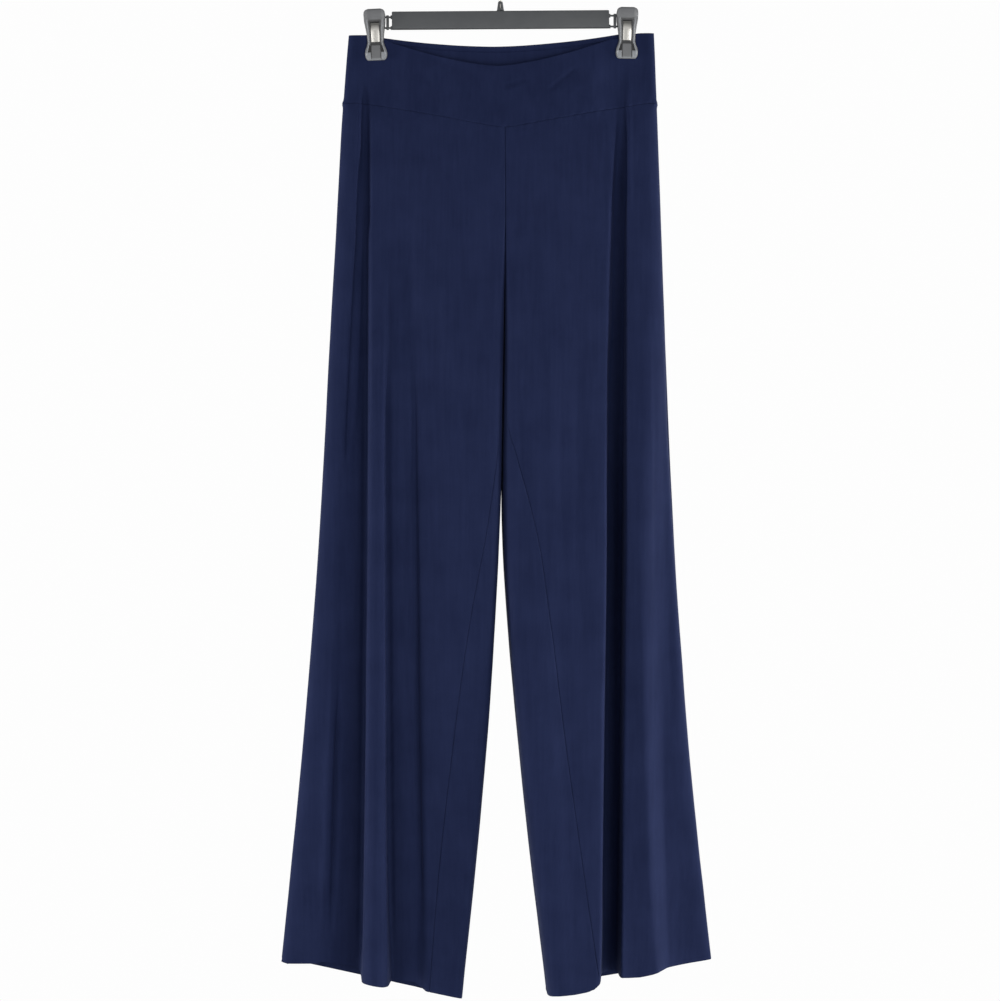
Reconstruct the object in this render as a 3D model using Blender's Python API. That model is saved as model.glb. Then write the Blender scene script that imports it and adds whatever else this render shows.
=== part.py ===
# Palazzo pants in navy stretch jersey, held at the waistband by the two clips of a trouser hanger.
# The origin is the inside top of the hook. The front faces -Y and the wearer's left is +X.
# Every size below is in millimetres, and MM turns it to metres where a mesh is made.

import math
from collections import namedtuple

import bmesh
import bpy
import numpy as np
from mathutils import Matrix

MM = 0.001

# Driving dimensions
JERSEY = 1.2  # wall of the leg panels
WAISTBAND_WALL = 2.4  # two layers of jersey
SEAM_GAP = 0.3  # between the edges of two panels at a seam
LEG_GAP = 0.8  # between the two legs where they touch
TOP_Z = -96.7  # top edge of the waistband at the sides
SEAM_Z = -174.0  # waist seam at the sides
HIP_Z = -336.0
CREASE_Z = -296.0  # from here down the centre seam sinks in between the legs
CROTCH_Z = -442.0
FORK_Z = -640.0  # below this the legs part
KNEE_Z = -890.0
HEM_Z = -1150.0
HANGER_TILT = math.radians(0.4)  # the wearer's left clip hangs the higher
CENTRE_X = 5.0  # centre seam at the waist

SIDE_CLEAR = 12.0  # folds fade out over this stretch next to the side
INNER_CLEAR = 8.0  # and over this one next to the inside of the leg
SIDE_ROUND = 10.0  # where the faces have come round from the side
SEAM_FADE = 190.0  # below the waist seam, until the levels no longer bend with it
STEP = 0.5  # between the points that the outlines are worked out on
CORNER = 5.0  # how far either side the cloth rounds a corner
CROWN = 0.28  # how much of its depth a fold has lost where its walls begin

# Cloth edges: how far each edge lies below its ends
FRONT_TOP_DIP = 23.0
FRONT_TOP_SLIP = 10.0  # taken up under the clips
BACK_TOP_DIP = 13.5
FRONT_SEAM_DIP = 28.0
BACK_SEAM_DIP = 9.0
TOP_SPAN = 125.0  # from the centre to the inner side of a clip
BACK_SPAN = 142.0
FRONT_SEAM_SPAN = 160.0

Leg = namedtuple("Leg", "name way hem_side_z hem_inner_z sections folds")
# A level of a leg: where the cloth turns at the side and at the inside of the leg, and how far
# forward (-) or back (+) the faces lie near the side and near the inside.
Section = namedtuple(
    "Section", "z side_x side_y front_outer front_inner back_outer back_inner inner_x round"
)
# A fold that runs down a face: its edges at the waist and at the hem, how wide each of its two walls
# is, and the depth at which its floor or crest lies at four levels. It fades in from start to full.
Fold = namedtuple(
    "Fold",
    "name face start full left_top left_hem right_top right_hem left_wall_top left_wall_hem "
    "right_wall_top right_wall_hem hip fork knee hem",
)

RIGHT_SECTIONS = (
    Section(TOP_Z, -168.0, 0, -7, -15, 6, 7, CENTRE_X, 2),
    Section(SEAM_Z, -174.0, 0, -11, -19, 9, 10, CENTRE_X, 2),
    Section(HIP_Z, -183.0, 0, -15, -25, 15, 17, 4.0, 3),
    Section(CROTCH_Z, -189.0, 0, -16, -27, 17, 21, 3.0, 15),
    Section(FORK_Z, -200.0, 3, -14, -28, 18, 22, 0.0, 16),
    Section(KNEE_Z, -219.0, 6, -8, -20, 18, 20, -15.5, 16),
    Section(HEM_Z, -243.5, 12, 2, 1, 20, 17, -42.0, 14),
)
RIGHT_FOLDS = (
    Fold("clip valley", -1, -140, -270, -158, -202, -143, -151, 8, 36, 6, 5, -1, 4, 8, 11),
    Fold("second valley", -1, -400, -560, -132, -132, -84, -70, 6, 6, 9, 10, -24, -20, -9, 10),
    Fold("tube lobe", -1, -300, -560, -149, -156, -123, -120, 6, 5, 6, 5, -25, -29, -32, -36),
    Fold("back clip valley", 1, -140, -300, -144, -153, -112, -122, 12, 12, 12, 10, 1, 3, -2, -8),
    Fold("back inner dip", 1, -480, -700, -98, -96, -58, -54, 16, 16, 14, 14, 16, 12, 4, 15),
)
LEFT_SECTIONS = (
    Section(TOP_Z, 171.0, 0, -7, -15, 6, 7, CENTRE_X, 2),
    Section(SEAM_Z, 174.0, 0, -11, -19, 9, 10, CENTRE_X, 2),
    Section(HIP_Z, 179.5, 0, -15, -25, 15, 17, 4.0, 3),
    Section(CROTCH_Z, 183.5, 0, -16, -28, 17, 21, 3.0, 15),
    Section(FORK_Z, 192.5, 4, -10, -33, 20, 23, 1.0, 20),
    Section(KNEE_Z, 210.0, 12, 0, -40, 24, 26, 21.5, 24),
    Section(HEM_Z, 236.5, 24.5, 20, -46, 29, 28, 54.0, 26),
)
LEFT_FOLDS = (
    Fold("clip valley", -1, -110, -250, 123, 106, 143, 136, 12, 5, 6, 4, -2, 11, 17, 22),
    Fold("outer lobe", -1, -200, -500, 137, 126, 192, 190, 6, 12, 20, 24, -16, -17, -14, -7),
    Fold("back clip valley", 1, -130, -290, 142, 146, 174, 180, 12, 14, 10, 14, 1, 5, 11, 21),
    Fold("back inner dip", 1, -500, -740, 70, 68, 104, 102, 14, 14, 14, 14, 17, 15, 10, 4),
)
RIGHT_LEG = Leg("right", 1, -1125.0, -1166.0, RIGHT_SECTIONS, RIGHT_FOLDS)
LEFT_LEG = Leg("left", -1, -1127.0, -1157.0, LEFT_SECTIONS, LEFT_FOLDS)

# The inside leg seam: how much of the inner wall it has crossed, and how far round on the front it is
Inseam = namedtuple("Inseam", "z wall right left")
INSEAM = (
    Inseam(CROTCH_Z, 0.0, 0, 0),
    Inseam(-500, 0.55, 0, 0),
    Inseam(-560, 0.95, 6, 12),
    Inseam(-650, 1.0, 18, 34),
    Inseam(-750, 1.0, 32, 47),
    Inseam(-860, 1.0, 40, 54),
    Inseam(-980, 1.0, 43, 65),
    Inseam(HEM_Z, 1.0, 38, 82),
)
# The line that the two legs keep to where they meet
CENTRE_LINE = ((TOP_Z, CENTRE_X), (HIP_Z, 4.0), (CROTCH_Z, 3.0), (-560, 1.0), (FORK_Z, 0.0))
LEG_ROWS = (
    SEAM_Z, -208, -250, CREASE_Z, HIP_Z, -386, CROTCH_Z, -500, -565, FORK_Z,
    -720, -805, KNEE_Z, -980, -1065, HEM_Z,
)
FRONT_COLUMNS = 49
BACK_COLUMNS = 34
WAIST_ROWS = 6
WAIST_COLUMNS = 25  # in each half

# Clips: where they grip, how they lean, and the cloth between their jaws
Clip = namedtuple("Clip", "name x lean")
CLIPS = (Clip("right", -138.2, math.radians(-2.4)), Clip("left", 139.8, math.radians(1.4)))
GRIP_Z = -115.0
GRIP_HALF = 12.5
GRIP_SPREAD = 26.0  # the pinch is gone this far beyond the jaws
GRIP_BOTTOM = -127.0
GRIP_FADE = 75.0
GRIP_DEPTH = WAISTBAND_WALL + SEAM_GAP / 2  # outer face of the pinched cloth

# Hanger
BAR_LENGTH = 241.0
BAR_TOP = -70.9
BAR_HEIGHT = 19.3
BAR_DEPTH = 8.5
BAR_EDGE = 0.9
ARM_RADIUS = 1.05
ARM_LEVELS = (-76.6, -88.6)
ARM_REACH = 147.0
ARM_ROOT = 116.0
BARREL_RADIUS = 3.6
BARREL_HALF = 5.0
NECK_HEIGHT = 9.8
NECK_BASE = 4.2
NECK_TIP = 2.7
NECK_FLOOR = 2.0
WIRE_RADIUS = 1.6
CROOK_RADIUS = 17.0  # inside
SPRING_WALL = 0.6
SPRING_HALF = 4.5
SPRING_BEND = 4.3
SPRING_FOOT = (-3.5, -104.5)
WINDOW_HALF = 4.8
# A row across a jaw: its height, half width, inner and outer face
Jaw = namedtuple("Jaw", "z half inner outer")
JAW_ROWS = (
    Jaw(-68.5, 8.0, 6.0, 7.6),
    Jaw(-69.5, 10.2, 5.9, 8.6),
    Jaw(-71.3, 11.5, 5.7, 8.9),
    Jaw(-74.5, 12.0, 5.3, 8.8),
    Jaw(-82.5, 11.6, 4.3, 7.6),
    Jaw(-89.0, 10.5, 3.8, 6.8),
    Jaw(-97.0, 9.3, 3.4, 6.2),
    Jaw(-105.0, 8.9, 2.95, 5.8),
    Jaw(-109.0, 9.9, 2.85, 5.8),
    Jaw(-113.3, 11.5, 2.85, 6.0),
    Jaw(-117.8, 12.3, 2.85, 6.0),
    Jaw(-122.2, 11.7, 2.85, 5.9),
    Jaw(-124.2, 10.2, 2.85, 5.4),
    Jaw(-125.0, 8.8, 2.85, 4.6),
)
WINDOW_TOP, WINDOW_BOTTOM = -82.5, -105.0

NAVY = (0.0144, 0.0194, 0.0578, 1)
CHARCOAL = (0.0865, 0.0908, 0.0953, 1)
CLIP_GREY = (0.155, 0.156, 0.162, 1)
STEEL = (0.62, 0.62, 0.60, 1)


def material(name, colour, roughness, metallic=0.0):
    made = bpy.data.materials.new(name)
    made.use_nodes = True
    surface = made.node_tree.nodes["Principled BSDF"]
    surface.inputs["Base Color"].default_value = colour
    surface.inputs["Roughness"].default_value = roughness
    surface.inputs["Metallic"].default_value = metallic
    return made


def object_of(bm, name, finish):
    bmesh.ops.recalc_face_normals(bm, faces=bm.faces[:])
    mesh = bpy.data.meshes.new(name)
    bm.to_mesh(mesh)
    bm.free()
    mesh.shade_smooth()
    mesh.set_sharp_from_angle(angle=math.radians(40))
    made = bpy.data.objects.new(name, mesh)
    made.data.materials.append(finish)
    bpy.context.scene.collection.objects.link(made)
    return made


def ease(share):
    # 0 up to 0, 1 from 1 on, and level at both ends
    t = np.clip(share, 0.0, 1.0)
    return t * t * (3 - 2 * t)


def follow(levels, values, z):
    # a smooth curve through one value for each level, with the levels from the top down
    levels = np.array(levels, float)
    values = np.array(values, float)
    z = float(np.clip(z, levels[-1], levels[0]))
    slopes = np.gradient(values, levels)
    i = int(np.clip(np.searchsorted(-levels, -z) - 1, 0, len(levels) - 2))
    step = levels[i + 1] - levels[i]
    t = (z - levels[i]) / step
    rise = (2 * t**3 - 3 * t**2 + 1) * values[i] + (3 * t**2 - 2 * t**3) * values[i + 1]
    bend = (t**3 - 2 * t**2 + t) * slopes[i] + (t**3 - t**2) * slopes[i + 1]
    return rise + step * bend


def section_at(leg, z):
    levels = [row.z for row in leg.sections]
    columns = zip(*leg.sections)
    return Section(*(follow(levels, column, z) for column in columns))


def spline(controls, steps=26):
    # a cubic B-spline that begins and ends on its end points, along its first and last legs
    p = np.array([controls[0]] * 2 + list(controls) + [controls[-1]] * 2, float)
    t = np.arange(steps)[:, None] / steps
    weights = ((1 - t) ** 3, 3 * t**3 - 6 * t**2 + 4, -3 * t**3 + 3 * t**2 + 3 * t + 1, t**3)
    spans = [sum(w * p[i + k] for k, w in enumerate(weights)) / 6 for i in range(len(p) - 3)]
    return np.concatenate(spans + [p[-1:]])


def folded(points, leg, row, face):
    # lays the folds of one face into its outline, and pinches it where a clip grips
    x, y = points[:, 0], points[:, 1].copy()
    down = (SEAM_Z - row.z) / (SEAM_Z - HEM_Z)
    inside = ease(abs(x - row.side_x) / SIDE_CLEAR) * ease((abs(x - row.inner_x) - STEP) / INNER_CLEAR)
    for fold in leg.folds:
        if fold.face != face:
            continue
        left = fold.left_top + (fold.left_hem - fold.left_top) * down
        right = fold.right_top + (fold.right_hem - fold.right_top) * down
        left_wall = fold.left_wall_top + (fold.left_wall_hem - fold.left_wall_top) * down
        right_wall = fold.right_wall_top + (fold.right_wall_hem - fold.right_wall_top) * down
        depths = (fold.hip, fold.fork, fold.knee, fold.hem)
        depth = follow((HIP_Z, FORK_Z, KNEE_Z, HEM_Z), depths, row.z)
        strength = ease((fold.start - row.z) / (fold.start - fold.full))
        reach = ease((x - left) / left_wall) * ease((right - x) / right_wall)
        reach *= 1 - CROWN * np.clip((2 * x - left - right) / (right - left), -1, 1) ** 2
        y += strength * inside * reach * (depth - y)
    for clip in CLIPS:
        across = 1 - ease((abs(x - clip.x) - GRIP_HALF) / GRIP_SPREAD)
        along = 1 - ease((GRIP_BOTTOM - row.z) / GRIP_FADE)
        y += inside * across * along * (face * GRIP_DEPTH - y)
    return np.column_stack((x, y))


def faces_of(leg, z, gap):
    # the outer lines of the front and of the back of a leg, both from the side to the inside
    row = section_at(leg, z)
    centre = follow(*zip(*CENTRE_LINE), z)
    clear = min(leg.way * row.inner_x, leg.way * centre) - gap / 2
    inner_x = leg.way * clear
    row = row._replace(inner_x=inner_x)
    crease = ease((CREASE_Z - z) / (CREASE_Z - CROTCH_Z))
    middle = (row.front_inner + row.back_inner) / 2
    width = inner_x - row.side_x
    faces = ((-1, row.front_outer, row.front_inner), (1, row.back_outer, row.back_inner))
    outlines = []
    for face, outer, inner in faces:
        wall = inner + (middle - inner) * crease
        controls = (
            (row.side_x, row.side_y),
            (row.side_x, row.side_y + 0.6 * (outer - row.side_y)),
            (row.side_x + leg.way * SIDE_ROUND, outer),
            (row.side_x + width * 0.3, outer),
            (row.side_x + width * 0.7, inner),
            (inner_x - leg.way * row.round, inner),
            (inner_x, inner),
            (inner_x, wall),
        )
        outlines.append(folded(spline(controls), leg, row, face))
    return outlines


def evenly(points):
    # the same line with its points STEP apart
    along = np.concatenate(([0.0], np.cumsum(np.linalg.norm(np.diff(points, axis=0), axis=1))))
    places = np.linspace(0, along[-1], round(along[-1] / STEP) + 1)
    return np.column_stack([np.interp(places, along, points[:, k]) for k in (0, 1)])


def softened(points):
    # rounds the corners of an even line over about CORNER and leaves its ends in place
    reach = round(CORNER / STEP)
    before = 2 * points[0] - points[reach:0:-1]
    after = 2 * points[-1] - points[-2 : -reach - 2 : -1]
    line = np.concatenate((before, points, after))
    weights = np.hanning(2 * reach + 3)[1:-1]
    weights /= weights.sum()
    return np.column_stack([np.convolve(line[:, k], weights, "valid") for k in (0, 1)])


def measured_faces(leg, z, gap):
    # the front and the back line, each as distances from the side, points and outward normals
    front, back = (evenly(points) for points in faces_of(leg, z, gap))
    loop = softened(np.concatenate((front[::-1], back[1:])))
    tangent = np.gradient(loop, axis=0)
    tangent /= np.linalg.norm(tangent, axis=1, keepdims=True)
    normal = np.column_stack((-tangent[:, 1], tangent[:, 0])) * leg.way
    side = len(front) - 1
    lines = []
    for points, normals in ((loop[side::-1], normal[side::-1]), (loop[side:], normal[side:])):
        steps = np.linalg.norm(np.diff(points, axis=0), axis=1)
        lines.append((np.concatenate(([0.0], np.cumsum(steps))), points, normals))
    return lines


def joined(first, second):
    along = np.concatenate((first[0], first[0][-1] + second[0][-1] - second[0][::-1][1:]))
    points = np.concatenate((first[1], second[1][::-1][1:]))
    return along, points, np.concatenate((first[2], second[2][::-1][1:]))


def picked(line, start, end, count):
    # evenly spaced points and normals from start to end of a measured line
    along = np.linspace(start, end, count)
    points = np.column_stack([np.interp(along, line[0], line[1][:, k]) for k in (0, 1)])
    normals = np.column_stack([np.interp(along, line[0], line[2][:, k]) for k in (0, 1)])
    return points, normals / np.linalg.norm(normals, axis=1, keepdims=True)


def edge_heights(x, face):
    # heights of the waistband's top edge and of the waist seam
    off = abs(x - CENTRE_X)
    slip = 1 - ease((off - TOP_SPAN) / (2 * GRIP_HALF))
    if face < 0:
        dip = FRONT_TOP_SLIP * slip + FRONT_TOP_DIP * (1 - np.clip(off / TOP_SPAN, 0, 1) ** 1.5)
        seam = FRONT_SEAM_DIP * (1 - np.clip(off / FRONT_SEAM_SPAN, 0, 1)) ** 1.1
    else:
        dip = BACK_TOP_DIP * (1 - np.clip(off / BACK_SPAN, 0, 1) ** 1.7)
        seam = BACK_SEAM_DIP * (1 - np.clip(off / BACK_SPAN, 0, 1) ** 1.5)
    return TOP_Z + x * math.tan(HANGER_TILT) - dip, SEAM_Z - seam


def height(leg, x, z, face):
    # the real height of a point whose level is z: the levels bend to the waist seam and to the hem
    top, seam = edge_heights(x, face)
    if z >= SEAM_Z:
        return top + (seam - top) * (TOP_Z - z) / (TOP_Z - SEAM_Z)
    near_waist = (1 - ease((SEAM_Z - z) / SEAM_FADE)) * (seam - SEAM_Z)
    side, inner = leg.sections[-1].side_x, leg.sections[-1].inner_x
    hem = leg.hem_side_z + (leg.hem_inner_z - leg.hem_side_z) * (x - side) / (inner - side)
    near_hem = ((FORK_Z - z) / (FORK_Z - HEM_Z)) ** 1.5 if z < FORK_Z else 0.0
    return z + near_waist + near_hem * (hem - HEM_Z)


def wall_rows(rows, thickness):
    # outer and inner skins of a cloth wall, from rows of points, heights and normals
    outer = np.array([np.column_stack((points, heights)) for points, normals, heights in rows])
    inward = np.array([np.column_stack((normals, heights * 0)) for points, normals, heights in rows])
    return outer, outer - thickness * inward


def closed_wall(name, outer, inner, finish, holes=()):
    # a grid extruded once: one layer goes to the outer points and the other to the inner ones
    rows, columns = outer.shape[:2]
    bm = bmesh.new()
    bmesh.ops.create_grid(bm, x_segments=columns - 1, y_segments=rows - 1, size=1.0)
    column_of = bm.verts.layers.int.new("column")
    row_of = bm.verts.layers.int.new("row")
    for v in bm.verts:
        v[column_of] = round((v.co.x + 1) / 2 * (columns - 1))
        v[row_of] = round((v.co.y + 1) / 2 * (rows - 1))
    corners = {f: (min(v[row_of] for v in f.verts), min(v[column_of] for v in f.verts)) for f in bm.faces}
    cut = [f for f, corner in corners.items() if corner in holes]
    bmesh.ops.delete(bm, geom=cut, context="FACES")
    grown = bmesh.ops.extrude_face_region(bm, geom=bm.faces[:], use_keep_orig=True)["geom"]
    raised = {g for g in grown if isinstance(g, bmesh.types.BMVert)}
    for v in bm.verts:
        place = outer if v in raised else inner
        v.co = place[v[row_of], v[column_of]] * MM
    return object_of(bm, name, finish)


def leg_panel(leg, face, finish):
    rows = []
    for z in LEG_ROWS:
        gap = SEAM_GAP + (LEG_GAP - SEAM_GAP) * float(ease((SEAM_Z - z) / (SEAM_Z - CROTCH_Z)))
        front, back = measured_faces(leg, z, gap)
        inseam = front[0][-1]
        if z < CROTCH_Z:
            row = section_at(leg, z)
            wall = follow([r.z for r in INSEAM], [r.wall for r in INSEAM], z)
            strip = follow([r.z for r in INSEAM], [getattr(r, leg.name) for r in INSEAM], z)
            inseam -= wall * (row.back_inner - row.front_inner) / 2 + strip
        if face < 0:
            line, end, columns = front, inseam, FRONT_COLUMNS
        else:
            line, columns = joined(back, front), BACK_COLUMNS
            end = back[0][-1] + front[0][-1] - inseam
        points, normals = picked(line, SEAM_GAP / 2, end - SEAM_GAP / 2, columns)
        heights = height(leg, points[:, 0], z, face)
        if z == SEAM_Z:
            heights -= SEAM_GAP / 2
        rows.append((points, normals, heights))
    outer, inner = wall_rows(rows, JERSEY)
    name = ("leg_front_" if face < 0 else "leg_back_") + leg.name
    return closed_wall(name, outer, inner, finish)


def waistband(face, finish):
    rows = []
    for z in np.linspace(TOP_Z, SEAM_Z, WAIST_ROWS):
        halves = []
        for leg in (RIGHT_LEG, LEFT_LEG):
            line = measured_faces(leg, z, 0.0)[0 if face < 0 else 1]
            points, normals = picked(line, SEAM_GAP / 2, line[0][-1], WAIST_COLUMNS)
            halves.append((points, normals, height(leg, points[:, 0], z, face)))
        right, left = halves
        row = [np.concatenate((a, b[::-1][1:])) for a, b in zip(right, left)]
        if z == SEAM_Z:
            row[2] = row[2] + SEAM_GAP / 2
        rows.append(row)
    outer, inner = wall_rows(rows, WAISTBAND_WALL)
    return closed_wall("waistband_front" if face < 0 else "waistband_back", outer, inner, finish)


def tube_along_x(bm, start, end, radius, z, sides):
    made = bmesh.ops.create_cone(
        bm, cap_ends=True, segments=sides, radius1=radius * MM, radius2=radius * MM,
        depth=abs(end - start) * MM,
    )
    bmesh.ops.rotate(bm, verts=made["verts"], cent=(0, 0, 0), matrix=Matrix.Rotation(math.pi / 2, 3, "Y"))
    bmesh.ops.translate(bm, verts=made["verts"], vec=((start + end) / 2 * MM, 0, z * MM))


def hanger_bar(finish, hanger):
    bm = bmesh.new()
    bmesh.ops.create_cube(bm, size=1.0)
    bmesh.ops.scale(bm, verts=bm.verts[:], vec=(BAR_LENGTH * MM, BAR_DEPTH * MM, BAR_HEIGHT * MM))
    bmesh.ops.translate(bm, verts=bm.verts[:], vec=(0, 0, (BAR_TOP - BAR_HEIGHT / 2) * MM))
    bmesh.ops.bevel(bm, geom=bm.edges[:], offset=BAR_EDGE * MM, segments=2, profile=0.5, affect="EDGES")
    bar = object_of(bm, "hanger_bar", finish)
    bar.parent = hanger
    for side in (-1, 1):
        for z in ARM_LEVELS:
            arms = [(ARM_ROOT, ARM_REACH, ARM_RADIUS, 12)]
            if z == ARM_LEVELS[1]:
                centre = abs(next(clip.x for clip in CLIPS if clip.x * side > 0))
                arms.append((centre - BARREL_HALF, centre + BARREL_HALF, BARREL_RADIUS, 20))
            for start, end, radius, sides in arms:
                bm = bmesh.new()
                tube_along_x(bm, side * start, side * end, radius, z, sides)
                arm = object_of(bm, "arm", finish)
                arm.parent = hanger
                arm.hide_render = True
                arm.display_type = "WIRE"
                join = bar.modifiers.new("arm", "BOOLEAN")
                join.operation = "UNION"
                join.object = arm
    return bar


def hanger_neck(finish, hanger):
    bore = WIRE_RADIUS + SEAM_GAP
    base = BAR_TOP + SEAM_GAP
    tip = BAR_TOP + NECK_HEIGHT
    profile = (
        (0.0, base), (NECK_BASE, base), (NECK_BASE - 0.3, base + 1.2), (NECK_TIP + 0.2, tip - 2.2),
        (NECK_TIP - 0.2, tip - 0.6), (bore + 0.1, tip), (bore, tip - 0.3), (bore, base + NECK_FLOOR),
        (0.0, base + NECK_FLOOR),
    )
    bm = bmesh.new()
    verts = [bm.verts.new((r * MM, 0, z * MM)) for r, z in profile]
    edges = [bm.edges.new(pair) for pair in zip(verts, verts[1:])]
    bmesh.ops.spin(
        bm, geom=verts + edges, cent=(0, 0, 0), axis=(0, 0, 1), angle=2 * math.pi, steps=20, use_merge=True
    )
    bmesh.ops.remove_doubles(bm, verts=bm.verts[:], dist=1e-6)
    made = object_of(bm, "hanger_neck", finish)
    made.parent = hanger


def hanger_hook(finish, hanger):
    # straight up from the neck, out to the wearer's left, over the rail and down to a plain end
    radius = CROOK_RADIUS + WIRE_RADIUS
    centre = -CROOK_RADIUS
    foot = BAR_TOP + NECK_FLOOR + 2 * SEAM_GAP
    points = [(0.0, foot), (0.0, -60.0), (0.0, -52.0), (0.8, -46.5), (3.6, -42.0), (8.0, -38.0)]
    for degrees in range(-50, 203, 14):
        angle = math.radians(degrees)
        points.append((radius * math.cos(angle), centre + radius * math.sin(angle)))
    curve = bpy.data.curves.new("hanger_hook", "CURVE")
    curve.dimensions = "3D"
    curve.bevel_depth = WIRE_RADIUS * MM
    curve.bevel_resolution = 3
    curve.use_fill_caps = True
    line = curve.splines.new("POLY")
    line.points.add(len(points) - 1)
    for point, (x, z) in zip(line.points, points):
        point.co = (x * MM, 0, z * MM, 1)
    curve.materials.append(finish)
    made = bpy.data.objects.new("hanger_hook", curve)
    bpy.context.scene.collection.objects.link(made)
    made.parent = hanger


def clip_frame(clip, hanger):
    frame = bpy.data.objects.new("clip_frame_" + clip.name, None)
    bpy.context.scene.collection.objects.link(frame)
    frame.location = (clip.x * MM, 0, GRIP_Z * MM)
    frame.rotation_euler = (0, clip.lean, 0)
    frame.parent = hanger
    return frame


def clip_jaw(clip, face, finish, frame):
    places = ((-1, 0), (-WINDOW_HALF, 1), (0, 1), (WINDOW_HALF, 1), (1, 0))
    outer = np.empty((len(JAW_ROWS), len(places), 3))
    inner = np.empty_like(outer)
    holes = set()
    for i, row in enumerate(JAW_ROWS):
        for j, (place, fixed) in enumerate(places):
            x = place if fixed else place * row.half
            outer[i, j] = (x, face * row.outer, row.z - GRIP_Z)
            inner[i, j] = (x, face * row.inner, row.z - GRIP_Z)
        if WINDOW_BOTTOM < row.z <= WINDOW_TOP:
            holes |= {(i, 1), (i, 2)}
    side = "front" if face < 0 else "back"
    made = closed_wall(f"clip_{clip.name}_{side}", outer, inner, finish, holes)
    made.parent = frame


def clip_spring(clip, finish, frame):
    # a bent steel strip over the barrel, with a leg in the window of each jaw
    centre = ARM_LEVELS[1]
    line = [SPRING_FOOT] + [
        (-SPRING_BEND * math.cos(a), centre + SPRING_BEND * math.sin(a)) for a in np.linspace(0, math.pi, 11)
    ]
    line = np.array(line + [(-SPRING_FOOT[0], SPRING_FOOT[1])])
    tangent = np.gradient(line, axis=0)
    tangent /= np.linalg.norm(tangent, axis=1, keepdims=True)
    normal = np.column_stack((-tangent[:, 1], tangent[:, 0]))
    skins = []
    for side in (1, -1):
        skin = line + normal * side * SPRING_WALL / 2
        skins.append(np.array([[(x, y, z - GRIP_Z) for x in (-SPRING_HALF, SPRING_HALF)] for y, z in skin]))
    made = closed_wall(f"clip_{clip.name}_spring", skins[0], skins[1], finish)
    made.parent = frame


def main():
    for old in list(bpy.data.objects):
        bpy.data.objects.remove(old, do_unlink=True)
    jersey = material("navy jersey", NAVY, 0.75)
    bar_plastic = material("charcoal moulded plastic", CHARCOAL, 0.45)
    clip_plastic = material("grey moulded plastic", CLIP_GREY, 0.4)
    steel = material("zinc plated steel", STEEL, 0.25, 1.0)

    for face in (-1, 1):
        waistband(face, jersey)
        for leg in (RIGHT_LEG, LEFT_LEG):
            leg_panel(leg, face, jersey)

    hanger = bpy.data.objects.new("hanger", None)
    bpy.context.scene.collection.objects.link(hanger)
    hanger.rotation_euler = (0, -HANGER_TILT, 0)
    hanger_bar(bar_plastic, hanger)
    hanger_neck(bar_plastic, hanger)
    hanger_hook(steel, hanger)
    for clip in CLIPS:
        frame = clip_frame(clip, hanger)
        clip_jaw(clip, -1, clip_plastic, frame)
        clip_jaw(clip, 1, clip_plastic, frame)
        clip_spring(clip, steel, frame)


main()
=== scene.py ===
import math

import bmesh
import bpy
import numpy as np
from mathutils import Matrix, Vector, noise


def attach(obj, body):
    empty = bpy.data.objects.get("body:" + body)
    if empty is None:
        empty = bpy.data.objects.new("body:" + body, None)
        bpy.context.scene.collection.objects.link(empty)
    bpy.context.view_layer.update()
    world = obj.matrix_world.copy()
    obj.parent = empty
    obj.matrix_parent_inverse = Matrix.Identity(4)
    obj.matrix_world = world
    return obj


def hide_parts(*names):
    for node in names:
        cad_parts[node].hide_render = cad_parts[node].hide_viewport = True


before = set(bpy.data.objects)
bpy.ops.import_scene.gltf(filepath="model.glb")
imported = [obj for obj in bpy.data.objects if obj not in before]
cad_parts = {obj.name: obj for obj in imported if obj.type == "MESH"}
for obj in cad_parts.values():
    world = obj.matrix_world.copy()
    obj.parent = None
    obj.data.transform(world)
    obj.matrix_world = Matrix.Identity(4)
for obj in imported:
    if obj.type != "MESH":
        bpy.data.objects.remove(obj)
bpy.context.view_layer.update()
mm = 0.001


def addObject(name, data):
    made = bpy.data.objects.new(name, data)
    bpy.context.scene.collection.objects.link(made)
    return made


view = {
    "distance": 2700,  # from the hanger
    "height": -613.8,  # level with the thighs
    "frameHeight": 1111,  # what the picture takes in at the hanger
}
cameraData = bpy.data.cameras.new("camera")
cameraData.sensor_fit = "VERTICAL"
cameraData.sensor_height = 24
cameraData.lens = 24 * view["distance"] / view["frameHeight"]
camera = addObject("camera", cameraData)
camera.location = (0, -view["distance"] * mm, view["height"] * mm)
camera.rotation_euler = (math.pi / 2, 0, 0)
bpy.context.scene.camera = camera
print("camera placed")


def linear(hexColour):
    channels = [int(hexColour[i : i + 2], 16) / 255 for i in (1, 3, 5)]
    return (*(c / 12.92 if c <= 0.04045 else ((c + 0.055) / 1.055) ** 2.4 for c in channels), 1)


def addNode(tree, kind, settings, *links):
    # settings name a property, an input or an input's number; each link is (input, where it comes from)
    node = tree.nodes.new("ShaderNode" + kind)
    for name, value in settings.items():
        if isinstance(name, str) and name not in node.inputs:
            setattr(node, name, value)
        else:
            node.inputs[name].default_value = value
    for name, source in links:
        tree.links.new(source, node.inputs[name])
    return node


def addNoise(tree, place, scale, detail, roughness=0.5):
    settings = {"Scale": scale, "Detail": detail, "Roughness": roughness}
    return addNode(tree, "TexNoise", settings, ("Vector", place)).outputs["Fac"]


def addBump(tree, strength, depth, height, *links):
    settings = {"Strength": strength, "Distance": depth * mm}
    return addNode(tree, "Bump", settings, ("Height", height), *links).outputs["Normal"]


def newMaterial(name, settings):
    made = bpy.data.materials.new(name)
    made.use_nodes = True
    surface = made.node_tree.nodes["Principled BSDF"]
    for socket, value in settings.items():
        surface.inputs[socket].default_value = value
    return made, made.node_tree, surface


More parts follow.
